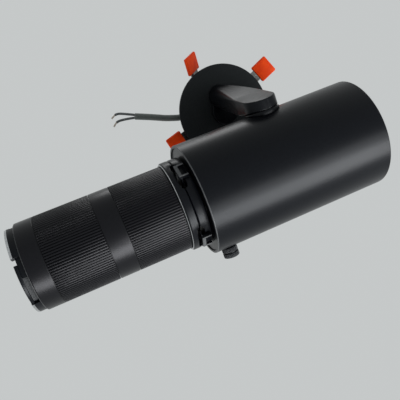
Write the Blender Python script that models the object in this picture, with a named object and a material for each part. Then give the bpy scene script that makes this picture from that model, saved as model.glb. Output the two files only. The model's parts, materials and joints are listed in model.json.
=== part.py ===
"""Recessed ceiling framing projector: a plate with spring clips, a swivel arm and a zoom lens head.

Frame: origin at the centre of the plate's upper face, which lies against the ceiling's underside.
+Z points up into the ceiling void and the beam leaves the head along +X. Units are metres.
"""
import math

import bmesh
import bpy
from mathutils import Matrix, Vector

MM = 0.001

# Fits shared by every piece
GAP = 0.3 * MM
RUN = 0.4 * MM

# Ceiling plate, recess cup and swivel
PLATE_RADIUS = 42.5 * MM
PLATE_THICKNESS = 2.4 * MM
PLATE_EDGE = 0.9 * MM
PLATE_SEAT = 7.0 * MM
PLATE_RELIEF = 0.4 * MM
CUP_RADIUS = 30.0 * MM
CUP_HEIGHT = 24.0 * MM
CUP_WALL = 1.5 * MM
SPINDLE_RADIUS = 8.0 * MM
SPINDLE_NUT_RIM = 5.0 * MM
SPINDLE_NUT_HEIGHT = 5.0 * MM
SPINDLE_END = 1.5 * MM
HUB_RADIUS = 12.5 * MM
HUB_HEIGHT = 4.0 * MM
HUB_EDGE = 0.8 * MM

# Spring clips round the recess cup, in degrees from the beam direction
CLIP_ANGLES = (-14.0, 68.5, 155.0, 250.0)
CLIP_DROOPS = (14.0, 30.0, 14.0, 14.0)
CLIP_TWISTS = (0.0, 31.0, 0.0, 0.0)
CLIP_FLOOR = 2.3 * MM
CLIP_PIN_RADIUS = 1.0 * MM
BRACKET_SHEET = 1.2 * MM
BRACKET_HEIGHT = 7.0 * MM
BRACKET_NOSE = 2.6 * MM
SPRING_WIRE = 0.5 * MM
SPRING_RADIUS = 2.6 * MM
SPRING_TURNS = 3.25
SPRING_WIDTH = 6.4 * MM
SPRING_LEG = 4.6 * MM
SPRING_REACH = 10.5 * MM
LEVER_SHEET = 1.0 * MM
LEVER_CHEEK = 1.2 * MM
LEVER_EYE = 2.0 * MM
LEVER_REACH = 25.0 * MM
SLEEVE_WIDTH = 17.0 * MM
SLEEVE_LENGTH = 16.5 * MM
SLEEVE_THICKNESS = 3.0 * MM
SLEEVE_END = 2.0 * MM
SLEEVE_SLIPS = (0.0, 0.0, 2.2 * MM, 0.0)
SLEEVE_EDGE = 0.9 * MM

# Supply cable
GLAND_ANGLE = 11.5
GLAND_HEIGHT = 11.0 * MM
GLAND_RADIUS = 4.4 * MM
GLAND_FLANGE = 2.4 * MM
GLAND_NOSE = 6.6 * MM
GLAND_ROOT_WALL = 0.9 * MM
GLAND_TIP_WALL = 0.5 * MM
SHEATH_RADIUS = 2.9 * MM
SHEATH_LEAVE = 3.0 * MM
CORE_RADIUS = 1.1 * MM

# Swing arm and tilt pivot
TILT_DROP = 90.0 * MM
ARM_ROOT_RADIUS = 10.4 * MM
ARM_ROOT_OUT = 14.0 * MM
ARM_KNEE = 17.0 * MM
ARM_KNEE_OUTER = 9.4 * MM
ARM_BOW = 0.8 * MM
ARM_STEPS = 7
BOSS_RADIUS = 13.0 * MM
BOSS_INNER = 4.0 * MM
BOSS_OUTER = 6.2 * MM
BOSS_EDGE = 1.2 * MM
SADDLE_RADIUS = 13.6 * MM
SADDLE_THICKNESS = 1.0 * MM
STUD_RADIUS = 4.0 * MM
STUD_COVER = 4.0 * MM
STUD_END = 1.0 * MM
TILT_NUT_RADIUS = 6.5 * MM
TILT_NUT_LENGTH = 4.0 * MM

# Lamp body
BODY_RADIUS = 43.0 * MM
BODY_WALL = 2.0 * MM
BODY_LENGTH = 144.0 * MM
PIVOT_TO_FRONT = 73.8 * MM
BODY_EDGE = 0.6 * MM
COVER_THICKNESS = 3.0 * MM
COVER_RECESS = 0.8 * MM
APERTURE_RADIUS = 24.0 * MM
DRIVER_LENGTH = 42.0 * MM
DRIVER_WIDTH = 46.0 * MM
DRIVER_HEIGHT = 30.0 * MM
DRIVER_EDGE = 1.5 * MM
SINK_LENGTH = 20.0 * MM
SINK_CORE = 20.0 * MM
SINK_SETBACK = 4.0 * MM
SINK_FINS = 24
FIN_SHARE = 0.3
FIN_SLOPE = 0.12
BOARD_RADIUS = 18.0 * MM
BOARD_THICKNESS = 1.6 * MM
HOLDER_OPENING = 11.0 * MM
HOLDER_THICKNESS = 4.0 * MM
REFLECTOR_THROAT = 10.0 * MM
REFLECTOR_MOUTH = 28.0 * MM
REFLECTOR_WALL = 1.2 * MM
REFLECTOR_STEPS = 5
CONDENSER_RADIUS = 27.0 * MM
CONDENSER_EDGE = 2.0 * MM
CONDENSER_CROWN = 4.0 * MM
THUMB_TO_FRONT = 13.8 * MM
THUMB_STEM = 1.6 * MM
THUMB_STEM_END = 1.0 * MM
THUMB_RADIUS = 6.3 * MM
THUMB_NECK = 1.2 * MM
THUMB_DISC = 3.6 * MM
THUMB_GROOVE = 0.9 * MM
THUMB_EDGE = 0.5 * MM

# Zoom barrel
TUBE_RADIUS = 28.9 * MM
TUBE_WALL = 1.8 * MM
GRIP_WALL = 3.1 * MM
BARREL_RADIUS = TUBE_RADIUS + RUN + GRIP_WALL
RIBS = 108
RIB_DEPTH = 0.7 * MM
RIB_GROOVE = 0.42
ZOOM_RING_LENGTH = 40.1 * MM
BAND_LENGTH = 14.5 * MM
FOCUS_RING_LENGTH = 40.5 * MM
FRONT_RING_LENGTH = 12.8 * MM
FRONT_RING_ROUND = 1.6 * MM
BAND_EDGE = 0.4 * MM
TUBE_BORE = TUBE_RADIUS - TUBE_WALL
BAYONET_LENGTH = 6.2 * MM
BAYONET_STEP = 1.1 * MM
BAYONET_RADIUS = BARREL_RADIUS - BAYONET_STEP
BAYONET_ROUND = 1.2 * MM
BAYONET_LIP = 0.8 * MM
BAYONET_BORE = TUBE_BORE - BAYONET_LIP
NOTCHES = 3
NOTCH_DEPTH = 2.2 * MM
NOTCH_SPAN = 67.0
NOTCH_ANGLE = 265.5
NOTCH_STEPS = 12
CARRIAGE_LENGTH = 12.0 * MM
CARRIAGE_RIM = 2.6 * MM
ZOOM_START = 6.0 * MM
FOCUS_RECESS = 24.0 * MM
LENS_EDGE = 3.0 * MM
LENS_CROWN = 4.0 * MM

# Framing gate
COLLAR_WALL = 5.2 * MM
COLLAR_RADIUS = TUBE_RADIUS + GAP + COLLAR_WALL
REAR_COLLAR_LENGTH = 7.6 * MM
FRONT_COLLAR_LENGTH = 6.8 * MM
COLLAR_EDGE = 0.6 * MM
SHUTTER_ANGLE = 48.0
SHUTTERS = 4
SLOT_WIDTH = 24.0 * MM
SLOT_DEPTH = 5.6 * MM
BLADE_THICKNESS = 0.6 * MM
BLADE_WIDTH = 12.4 * MM
BLADE_INNER = 12.0 * MM
TAB_WIDTH = 11.0 * MM
TAB_DEPTH = 6.0 * MM
TAB_HEIGHT = 3.2 * MM
TAB_WEB = 1.2 * MM
TAB_FLANGE = 1.1 * MM
TAB_FLOOR = 0.8 * MM

FINE = 48
MEDIUM = 36
COARSE = 18

# Stations along the beam, measured from the tilt axis
BODY_REAR = PIVOT_TO_FRONT - BODY_LENGTH
BODY_BORE = BODY_RADIUS - BODY_WALL
BEAM_OFFSET = BOSS_INNER + SADDLE_THICKNESS + 2 * GAP + BODY_RADIUS
REAR_COLLAR_X = PIVOT_TO_FRONT + GAP
GATE_X = REAR_COLLAR_X + REAR_COLLAR_LENGTH + GAP / 2
FRONT_COLLAR_X = GATE_X + GAP / 2
TUBE_X = GATE_X + SLOT_DEPTH / 2 + RUN
ZOOM_X = FRONT_COLLAR_X + FRONT_COLLAR_LENGTH + RUN
BAND_X = ZOOM_X + ZOOM_RING_LENGTH + RUN
FOCUS_X = BAND_X + BAND_LENGTH + RUN
FRONT_RING_X = FOCUS_X + FOCUS_RING_LENGTH + RUN
BAYONET_X = FRONT_RING_X + FRONT_RING_LENGTH + GAP


def clear_scene():
    for old in list(bpy.data.objects):
        bpy.data.objects.remove(old, do_unlink=True)


def material(name, colour, roughness, metallic):
    made = bpy.data.materials.new(name)
    made.use_nodes = True
    shader = made.node_tree.nodes["Principled BSDF"]
    shader.inputs["Base Color"].default_value = (*colour, 1.0)
    shader.inputs["Roughness"].default_value = roughness
    shader.inputs["Metallic"].default_value = metallic
    made.diffuse_color = (*colour, 1.0)
    return made


def make_materials():
    return {
        "black": material("satin_black", (0.028, 0.03, 0.033), 0.42, 0.3),
        "barrel": material("barrel_black", (0.034, 0.035, 0.038), 0.5, 0.2),
        "plate": material("powder_black", (0.04, 0.043, 0.046), 0.6, 0.1),
        "steel": material("spring_steel", (0.55, 0.56, 0.57), 0.3, 1.0),
        "orange": material("orange_silicone", (0.79, 0.06, 0.004), 0.5, 0.0),
        "aluminium": material("raw_aluminium", (0.62, 0.63, 0.65), 0.4, 1.0),
        "mirror": material("reflector_mirror", (0.9, 0.9, 0.9), 0.06, 1.0),
        "glass": material("lens_glass", (0.85, 0.9, 0.92), 0.03, 0.0),
        "board": material("board_white", (0.75, 0.74, 0.68), 0.55, 0.0),
        "sheath": material("grey_sheath", (0.09, 0.11, 0.1), 0.55, 0.0),
        "core": material("core_insulation", (0.11, 0.12, 0.12), 0.5, 0.0),
        "plastic": material("dark_plastic", (0.03, 0.03, 0.032), 0.5, 0.0),
    }


def empty(name, parent, location):
    made = bpy.data.objects.new(name, None)
    bpy.context.collection.objects.link(made)
    made.parent = parent
    made.location = location
    return made


def add(name, shape, finish, parent, location=(0, 0, 0), rotation=(0, 0, 0)):
    """Turn a bmesh into a named object, shaded smooth with sharp corners kept."""
    bmesh.ops.remove_doubles(shape, verts=shape.verts[:], dist=1e-7)
    bmesh.ops.recalc_face_normals(shape, faces=shape.faces[:])
    mesh = bpy.data.meshes.new(name)
    shape.to_mesh(mesh)
    shape.free()
    mesh.shade_smooth()
    mesh.set_sharp_from_angle(angle=math.radians(32))
    made = bpy.data.objects.new(name, mesh)
    bpy.context.collection.objects.link(made)
    made.parent = parent
    made.location = location
    made.rotation_euler = rotation
    if finish is not None:
        mesh.materials.append(finish)
    return made


def hide_tool(tool):
    tool.hide_render = True
    tool.display_type = 'WIRE'


def combine(target, tool, operation='DIFFERENCE'):
    hide_tool(tool)
    step = target.modifiers.new(tool.name, 'BOOLEAN')
    step.operation = operation
    step.solver = 'EXACT'
    step.object = tool


ALONG_Z = (0, -math.pi / 2, 0)
ALONG_Y = (0, 0, math.pi / 2)
ALONG_MINUS_Y = (0, 0, -math.pi / 2)


def turned(profile, segments):
    """Spin a profile of (distance along X, radius) once round the X axis."""
    shape = bmesh.new()
    points = [shape.verts.new((along, 0, radius)) for along, radius in profile]
    pairs = list(zip(points, points[1:]))
    if profile[0][1] > 0 or profile[-1][1] > 0:
        pairs.append((points[-1], points[0]))
    edges = [shape.edges.new(pair) for pair in pairs]
    bmesh.ops.spin(shape, geom=points + edges, cent=(0, 0, 0), axis=(1, 0, 0),
                   angle=math.tau, steps=segments, use_merge=True)
    return shape


def outer_side(start, end, radius, edge):
    """Outer side of a turned section, with both corners chamfered when edge is given."""
    if edge == 0:
        return [(start, radius), (end, radius)]
    return [(start, radius - edge), (start + edge, radius), (end - edge, radius), (end, radius - edge)]


def tube_profile(start, end, inner, outer, edge=0.0):
    """Closed wall section of a tube or ring."""
    return [(start, inner), *outer_side(start, end, outer, edge), (end, inner)]


def disc_profile(start, end, radius, edge=0.0):
    """Half section of a disc or pin."""
    return [(start, 0), *outer_side(start, end, radius, edge), (end, 0)]


def lens_profile(start, edge, radius, crown, steps=4):
    """Flat back at start, a straight edge, then a spherical front."""
    sphere = (radius ** 2 + crown ** 2) / (2 * crown)
    front = []
    for step in range(steps + 1):
        height = radius * (1 - step / steps)
        rise = math.sqrt(sphere ** 2 - height ** 2) - (sphere - crown)
        front.append((start + edge + rise, height))
    return [(start, 0), (start, radius)] + front


def prism(outline, low, high):
    """Extrude an outline of (y, z) points along X."""
    shape = bmesh.new()
    face = shape.faces.new([shape.verts.new((low, y, z)) for y, z in outline])
    grown = bmesh.ops.extrude_face_region(shape, geom=[face])
    moved = [item for item in grown["geom"] if isinstance(item, bmesh.types.BMVert)]
    bmesh.ops.translate(shape, verts=moved, vec=(high - low, 0, 0))
    return shape


def block(low, high, edge=0.0, segments=1):
    """Box between two corners, with its edges rounded when edge is given."""
    shape = bmesh.new()
    bmesh.ops.create_cube(shape, size=1.0)
    low, high = Vector(low), Vector(high)
    bmesh.ops.scale(shape, verts=shape.verts[:], vec=high - low)
    bmesh.ops.translate(shape, verts=shape.verts[:], vec=(low + high) / 2)
    if edge > 0:
        bmesh.ops.bevel(shape, geom=shape.edges[:], offset=edge, segments=segments,
                        profile=0.5, affect='EDGES')
    return shape


def loft(sections):
    """Closed skin over a row of point rings of equal count."""
    shape = bmesh.new()
    rings = [[shape.verts.new(point) for point in section] for section in sections]
    count = len(rings[0])
    for near, far in zip(rings, rings[1:]):
        for step in range(count):
            following = (step + 1) % count
            shape.faces.new((near[step], near[following], far[following], far[step]))
    shape.faces.new(rings[0])
    shape.faces.new(rings[-1])
    return shape


def smooth_route(points, count):
    """Evenly numbered points on a Catmull-Rom curve through the route."""
    padded = [points[0] * 2 - points[1], *points, points[-1] * 2 - points[-2]]
    spans = len(points) - 1
    route = []
    for step in range(count):
        place = spans * step / (count - 1)
        span = min(int(place), spans - 1)
        t = place - span
        a, b, c, d = padded[span:span + 4]
        route.append(0.5 * (2 * b + (c - a) * t + (2 * a - 5 * b + 4 * c - d) * t ** 2
                            + (3 * b - a - 3 * c + d) * t ** 3))
    return route


def tube_along(name, points, radius, resolution, finish, parent):
    """Round tube on a polyline, with closed ends."""
    curve = bpy.data.curves.new(name, 'CURVE')
    curve.dimensions = '3D'
    curve.bevel_depth = radius
    curve.bevel_resolution = resolution
    curve.use_fill_caps = True
    spline = curve.splines.new('POLY')
    spline.points.add(len(points) - 1)
    for knot, point in zip(spline.points, points):
        knot.co = (*point, 1.0)
    curve.materials.append(finish)
    made = bpy.data.objects.new(name, curve)
    bpy.context.collection.objects.link(made)
    made.parent = parent
    return made


def build_plate(finish, root):
    bore = SPINDLE_RADIUS + RUN
    profile = [(-PLATE_THICKNESS, bore), (-PLATE_THICKNESS, PLATE_RADIUS - PLATE_EDGE)]
    for step in range(1, 4):
        turn = math.radians(30 * step)
        profile.append((-PLATE_THICKNESS + PLATE_EDGE * (1 - math.cos(turn)),
                        PLATE_RADIUS - PLATE_EDGE * (1 - math.sin(turn))))
    seat = PLATE_RADIUS - PLATE_SEAT
    profile += [(0, PLATE_RADIUS), (0, seat), (-PLATE_RELIEF, seat), (-PLATE_RELIEF, bore)]
    add("trim_plate", turned(profile, FINE), finish["plate"], root, rotation=ALONG_Z)

    inner = CUP_RADIUS - CUP_WALL
    foot = -PLATE_RELIEF + GAP
    shoulder = CUP_HEIGHT - CUP_WALL
    cup = [(shoulder, 0), (shoulder, inner), (foot, inner), (foot, CUP_RADIUS),
           (shoulder, CUP_RADIUS), (CUP_HEIGHT, inner), (CUP_HEIGHT, 0)]
    add("recess_cup", turned(cup, MEDIUM), finish["plate"], root, rotation=ALONG_Z)


def clip_bracket(name, finish, station, half_width):
    """U-shaped sheet bracket: a back on the cup and two ears that hold the pin."""
    back = SPRING_RADIUS + SPRING_WIRE + GAP
    outer = half_width + BRACKET_SHEET
    plan = [(-back - BRACKET_SHEET, -outer), (BRACKET_NOSE, -outer), (BRACKET_NOSE, -half_width),
            (-back, -half_width), (-back, half_width), (BRACKET_NOSE, half_width),
            (BRACKET_NOSE, outer), (-back - BRACKET_SHEET, outer)]
    shape = prism(plan, -BRACKET_HEIGHT / 2, BRACKET_HEIGHT / 2)
    for vert in shape.verts:
        up, out, across = vert.co
        vert.co = (out, across, up)
    bracket = add(name, shape, finish["steel"], station)
    reach = outer + GAP
    hole = add(name + "_hole", turned(disc_profile(-reach, reach, CLIP_PIN_RADIUS + GAP), COARSE),
               None, station, rotation=ALONG_Y)
    combine(bracket, hole)


def clip_lever(name, finish, station, half_width):
    """Flat strip with two cheeks that turn on the pin and droop towards the ceiling board at rest."""
    coil_clear = SPRING_RADIUS + SPRING_WIRE + RUN
    cheek_in = half_width - LEVER_CHEEK
    plan = [(coil_clear, -cheek_in), (-LEVER_EYE, -cheek_in), (-LEVER_EYE, -half_width),
            (LEVER_REACH, -half_width), (LEVER_REACH, half_width), (-LEVER_EYE, half_width),
            (-LEVER_EYE, cheek_in), (coil_clear, cheek_in)]
    shape = prism(plan, -LEVER_EYE, LEVER_EYE)
    for vert in shape.verts:
        up, out, across = vert.co
        vert.co = (out, across, up)
    lever = add(name, shape, finish["steel"], station)
    beyond = LEVER_REACH + GAP
    across = half_width + GAP
    for side, label in ((1, "_top"), (-1, "_under")):
        near, far = sorted((side * LEVER_SHEET / 2, side * (LEVER_EYE + GAP)))
        cut = block((coil_clear - LEVER_SHEET / 2, -across, near), (beyond, across, far))
        combine(lever, add(name + label, cut, None, station))
    hole = add(name + "_hole", turned(disc_profile(-across, across, CLIP_PIN_RADIUS + RUN), COARSE),
               None, station, rotation=ALONG_Y)
    combine(lever, hole)


def clip_sleeve(name, finish, station, half_width, slip):
    """Soft sleeve pulled over the free end of the lever, some of them not quite home."""
    end = LEVER_REACH + SLEEVE_END + slip
    start = end - SLEEVE_LENGTH
    shape = block((start, -SLEEVE_WIDTH / 2, -SLEEVE_THICKNESS / 2),
                  (end, SLEEVE_WIDTH / 2, SLEEVE_THICKNESS / 2), SLEEVE_EDGE)
    sleeve = add(name, shape, finish["orange"], station)
    pocket = add(name + "_pocket",
                 block((start - GAP, -half_width - GAP, -LEVER_SHEET / 2 - GAP),
                       (LEVER_REACH + GAP, half_width + GAP, LEVER_SHEET / 2 + GAP)), None, station)
    combine(sleeve, pocket)


def spring_route(droop_angle):
    """Torsion spring: a leg down the bracket's back, the coil, then a leg out over the lever."""
    half = SPRING_WIDTH / 2
    route = [Vector((-SPRING_RADIUS, -half, -SPRING_LEG)),
             Vector((-SPRING_RADIUS, -half, -SPRING_LEG / 2))]
    steps = round(SPRING_TURNS * 8)
    for step in range(steps + 1):
        turn = math.pi - math.tau * SPRING_TURNS * step / steps
        route.append(Vector((SPRING_RADIUS * math.cos(turn), -half + SPRING_WIDTH * step / steps,
                             SPRING_RADIUS * math.sin(turn))))
    rest = LEVER_SHEET / 2 + SPRING_WIRE + GAP
    droop = Matrix.Rotation(droop_angle, 3, 'Y')
    route.append(droop @ Vector((SPRING_REACH / 2, half, (SPRING_RADIUS + rest) / 2)))
    route.append(droop @ Vector((SPRING_REACH, half, rest)))
    return route


def least_gap(route, radius, skip):
    """Smallest free distance between stretches of one tube that are not neighbours."""
    dense = []
    for start, end in zip(route, route[1:]):
        dense += [start.lerp(end, part / 6) for part in range(6)]
    return min((a - b).length for index, a in enumerate(dense)
               for b in dense[index + skip * 6:]) - 2 * radius


def build_clips(finish, root):
    pin_radius = CUP_RADIUS + GAP + BRACKET_SHEET + SPRING_RADIUS + SPRING_WIRE + GAP
    cheek = SPRING_WIDTH / 2 + SPRING_WIRE + RUN + LEVER_CHEEK
    ear = cheek + RUN
    outer = ear + BRACKET_SHEET
    for number, angle in enumerate(CLIP_ANGLES, 1):
        turn = math.radians(angle)
        droop = math.radians(CLIP_DROOPS[number - 1])
        twist = math.radians(CLIP_TWISTS[number - 1])
        height = CLIP_FLOOR + BRACKET_HEIGHT / 2 * math.cos(twist) + outer * math.sin(abs(twist))
        station = empty(f"clip_axis_{number}", root,
                        (pin_radius * math.cos(turn), pin_radius * math.sin(turn), height))
        station.rotation_euler = (twist, 0, turn)
        clip_bracket(f"clip_bracket_{number}", finish, station, ear)
        pin_half = outer + 2 * GAP
        pin = turned(disc_profile(-pin_half, pin_half, CLIP_PIN_RADIUS), COARSE)
        add(f"clip_pin_{number}", pin, finish["steel"], station, rotation=ALONG_Y)
        route = spring_route(droop)
        print("clip spring least gap in mm:", round(least_gap(route, SPRING_WIRE, 5) / MM, 2))
        tube_along(f"clip_spring_{number}", route, SPRING_WIRE, 1, finish["steel"], station)
        swing = empty(f"clip_swing_{number}", station, (0, 0, 0))
        swing.rotation_euler = (0, droop, 0)
        clip_lever(f"clip_lever_{number}", finish, swing, cheek)
        clip_sleeve(f"clip_sleeve_{number}", finish, swing, cheek, SLEEVE_SLIPS[number - 1])


def build_cable(finish, root):
    turn = math.radians(GLAND_ANGLE)
    start = CUP_RADIUS + GAP
    nose = start + GLAND_FLANGE + GLAND_NOSE
    gland = [(start, 0), (start, GLAND_RADIUS), (start + GLAND_FLANGE, GLAND_RADIUS),
             (start + GLAND_FLANGE, SHEATH_RADIUS + GLAND_ROOT_WALL),
             (nose, SHEATH_RADIUS + GLAND_TIP_WALL), (nose, 0)]
    add("cable_gland", turned(gland, COARSE), finish["plastic"], root,
        location=(0, 0, GLAND_HEIGHT), rotation=(0, 0, turn))

    # The sheath leaves the gland and lies down along the ceiling board, then its two cores part
    out = nose + GAP
    way = Vector((math.cos(turn), math.sin(turn), 0))
    leave = way * out + Vector((0, 0, GLAND_HEIGHT))
    sheath = [leave, leave + way * SHEATH_LEAVE,
              Vector((52.0, 11.9, 10.2)) * MM, Vector((58.4, 14.6, 9.0)) * MM,
              Vector((66.0, 17.8, 7.4)) * MM, Vector((73.0, 20.6, 5.8)) * MM,
              Vector((78.6, 22.8, 4.8)) * MM]
    tube_along("cord_sheath", smooth_route(sheath, 9), SHEATH_RADIUS, 3, finish["sheath"], root)
    live = [Vector((78.8, 24.4, 4.7)) * MM, Vector((83.2, 26.4, 4.4)) * MM,
            Vector((88.6, 28.8, 4.0)) * MM, Vector((92.2, 30.0, 3.6)) * MM,
            Vector((95.4, 29.9, 3.2)) * MM, Vector((99.2, 27.9, 2.8)) * MM]
    neutral = [Vector((79.9, 21.9, 4.6)) * MM, Vector((84.2, 22.8, 4.3)) * MM,
               Vector((89.3, 23.6, 3.8)) * MM, Vector((93.4, 23.9, 3.4)) * MM,
               Vector((96.5, 23.3, 3.0)) * MM, Vector((100.1, 20.8, 2.6)) * MM]
    tube_along("core_live", smooth_route(live, 11), CORE_RADIUS, 2, finish["core"], root)
    tube_along("core_neutral", smooth_route(neutral, 11), CORE_RADIUS, 2, finish["core"], root)


def build_swivel(finish, pan):
    foot = -PLATE_RELIEF + GAP
    top = foot + SPINDLE_NUT_HEIGHT + SPINDLE_END
    under = -PLATE_THICKNESS - GAP
    face = under - HUB_HEIGHT
    hub = [(top, 0), (top, SPINDLE_RADIUS), (under, SPINDLE_RADIUS), (under, HUB_RADIUS),
           (face + HUB_EDGE, HUB_RADIUS), (face, HUB_RADIUS - HUB_EDGE), (face, 0)]
    add("swivel_hub", turned(hub, MEDIUM), finish["black"], pan, rotation=ALONG_Z)
    nut = tube_profile(foot, foot + SPINDLE_NUT_HEIGHT, SPINDLE_RADIUS + GAP,
                       SPINDLE_RADIUS + SPINDLE_NUT_RIM)
    add("swivel_nut", turned(nut, COARSE), finish["steel"], pan, rotation=ALONG_Z)


def arm_section(half, low, high, corner, height, steps=4):
    """Ring of points on a rounded rectangle across the arm at one height."""
    corner = min(corner, half, (high - low) / 2)
    ring = []
    for quarter in range(4):
        along = half - corner if quarter in (0, 3) else corner - half
        out = high - corner if quarter in (0, 1) else low + corner
        for step in range(steps + 1):
            turn = math.pi / 2 * (quarter + step / steps)
            ring.append((along + corner * math.cos(turn), out + corner * math.sin(turn), height))
    return ring


def mix(start, end, share):
    return start + (end - start) * share


def build_arm(finish, pan, tilt):
    """Arm lofted from a round root beside the pan axis down to a flat round boss."""
    root_z = -PLATE_THICKNESS - RUN
    knee_z = -TILT_DROP + ARM_KNEE
    sections = []
    for step in range(ARM_STEPS):
        share = step / ARM_STEPS
        bow = 4 * ARM_BOW * share * (1 - share)
        sections.append(arm_section(mix(ARM_ROOT_RADIUS, BOSS_RADIUS, share),
                                    mix(ARM_ROOT_OUT - ARM_ROOT_RADIUS, -BOSS_INNER, share),
                                    mix(ARM_ROOT_OUT + ARM_ROOT_RADIUS, ARM_KNEE_OUTER, share) + bow,
                                    mix(ARM_ROOT_RADIUS, BOSS_EDGE, share), mix(root_z, knee_z, share)))
    sections.append(arm_section(BOSS_RADIUS, -BOSS_INNER, ARM_KNEE_OUTER, BOSS_EDGE, knee_z))
    slope = (ARM_KNEE_OUTER - BOSS_OUTER) / ARM_KNEE
    for degrees in (0, 15, 30, 45, 58, 70, 80):
        turn = math.radians(degrees)
        drop = BOSS_RADIUS * math.sin(turn)
        sections.append(arm_section(BOSS_RADIUS * math.cos(turn), -BOSS_INNER, BOSS_OUTER - slope * drop,
                                    BOSS_EDGE, -TILT_DROP - drop))
    arm = add("swing_arm", loft(sections), finish["black"], pan)

    face = -PLATE_THICKNESS - 2 * GAP - HUB_HEIGHT
    seat = turned(disc_profile(face, 0, HUB_RADIUS + GAP), MEDIUM)
    combine(arm, add("hub_seat", seat, None, pan, rotation=ALONG_Z))
    blind = BOSS_OUTER - STUD_COVER
    bore = turned(disc_profile(-BOSS_INNER - BOSS_RADIUS, blind + GAP, STUD_RADIUS + GAP), COARSE)
    combine(arm, add("stud_bore", bore, None, tilt, rotation=ALONG_Y))

    nut_face = -BEAM_OFFSET + math.sqrt(BODY_BORE ** 2 - TILT_NUT_RADIUS ** 2) - GAP
    nut_end = nut_face - TILT_NUT_LENGTH
    add("tilt_stud", turned(disc_profile(nut_end - STUD_END, blind, STUD_RADIUS), COARSE),
        finish["steel"], tilt, rotation=ALONG_Y)
    add("tilt_nut", turned(tube_profile(nut_end, nut_face, STUD_RADIUS + GAP, TILT_NUT_RADIUS), COARSE),
        finish["steel"], tilt, rotation=ALONG_Y)


def build_body(finish, beam):
    shell = tube_profile(BODY_REAR, PIVOT_TO_FRONT, BODY_BORE, BODY_RADIUS, BODY_EDGE)
    tube = add("body_tube", turned(shell, FINE), finish["black"], beam)
    inside = BODY_BORE - 2 * BODY_WALL
    reach = BODY_RADIUS + BODY_WALL
    pivot_hole = turned(disc_profile(inside, reach, STUD_RADIUS + RUN), COARSE)
    combine(tube, add("pivot_hole", pivot_hole, None, beam, rotation=ALONG_Y))
    thumb_hole = turned(disc_profile(inside, reach, THUMB_STEM + RUN), COARSE)
    combine(tube, add("thumb_hole", thumb_hole, None, beam,
                      location=(PIVOT_TO_FRONT - THUMB_TO_FRONT, 0, 0), rotation=ALONG_MINUS_Y))

    top = BODY_RADIUS + GAP + SADDLE_THICKNESS
    low = math.sqrt(BODY_RADIUS ** 2 - SADDLE_RADIUS ** 2) - SADDLE_THICKNESS
    saddle = add("tilt_saddle", turned(tube_profile(low, top, STUD_RADIUS + RUN, SADDLE_RADIUS, GAP), MEDIUM),
                 finish["black"], beam, rotation=ALONG_Y)
    seat = turned(disc_profile(-2 * SADDLE_RADIUS, 2 * SADDLE_RADIUS, BODY_RADIUS + GAP), FINE)
    combine(saddle, add("saddle_seat", seat, None, beam))

    seat_radius = BODY_BORE - GAP
    cover_x = BODY_REAR + COVER_RECESS
    add("rear_cover", turned(disc_profile(cover_x, cover_x + COVER_THICKNESS, seat_radius, BODY_EDGE), FINE),
        finish["black"], beam)
    bulkhead_end = PIVOT_TO_FRONT - COVER_RECESS
    bulkhead_x = bulkhead_end - COVER_THICKNESS
    bulkhead = tube_profile(bulkhead_x, bulkhead_end, APERTURE_RADIUS, seat_radius)
    add("front_bulkhead", turned(bulkhead, FINE), finish["black"], beam)

    driver_x = cover_x + COVER_THICKNESS + GAP
    driver = block((driver_x, -DRIVER_WIDTH / 2, -DRIVER_HEIGHT / 2),
                   (driver_x + DRIVER_LENGTH, DRIVER_WIDTH / 2, DRIVER_HEIGHT / 2), DRIVER_EDGE)
    add("driver_module", driver, finish["plastic"], beam)
    build_light_source(finish, beam, bulkhead_x)


def build_light_source(finish, beam, bulkhead_x):
    """Heat sink, board, holder, ellipsoidal reflector and condenser, stacked up to the bulkhead."""
    outline = []
    tip = BODY_BORE - GAP
    flank = FIN_SHARE + FIN_SLOPE
    for fin in range(SINK_FINS):
        for share, radius in ((0.0, tip), (FIN_SHARE, tip), (flank, SINK_CORE), (1 - FIN_SLOPE, SINK_CORE)):
            turn = math.tau * (fin + share) / SINK_FINS
            outline.append((radius * math.cos(turn), radius * math.sin(turn)))
    sink_x = TILT_NUT_RADIUS + SINK_SETBACK
    add("heat_sink", prism(outline, sink_x, sink_x + SINK_LENGTH), finish["aluminium"], beam)
    board_x = sink_x + SINK_LENGTH + GAP
    add("led_board", turned(disc_profile(board_x, board_x + BOARD_THICKNESS, BOARD_RADIUS), COARSE),
        finish["board"], beam)
    holder_x = board_x + BOARD_THICKNESS + GAP
    holder = tube_profile(holder_x, holder_x + HOLDER_THICKNESS, HOLDER_OPENING, BOARD_RADIUS)
    add("led_holder", turned(holder, COARSE), finish["plastic"], beam)

    condenser_x = bulkhead_x - GAP - CONDENSER_EDGE
    lens = [(condenser_x + CONDENSER_EDGE, 0)]
    lens += [(2 * condenser_x + CONDENSER_EDGE - x, r)
             for x, r in lens_profile(condenser_x, CONDENSER_EDGE, CONDENSER_RADIUS, CONDENSER_CROWN)[1:]]
    add("condenser_lens", turned(lens, COARSE), finish["glass"], beam)

    start = holder_x + HOLDER_THICKNESS + GAP
    depth = condenser_x - GAP - start
    squeeze = math.sqrt(1 - (REFLECTOR_THROAT / REFLECTOR_MOUTH) ** 2)
    inside = []
    for step in range(REFLECTOR_STEPS + 1):
        share = step / REFLECTOR_STEPS
        radius = REFLECTOR_MOUTH * math.sqrt(1 - ((1 - share) * squeeze) ** 2)
        inside.append((start + depth * share, radius))
    outside = [(x, r + REFLECTOR_WALL) for x, r in reversed(inside)]
    add("ellipsoidal_reflector", turned(inside + outside, COARSE), finish["mirror"], beam)


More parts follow.
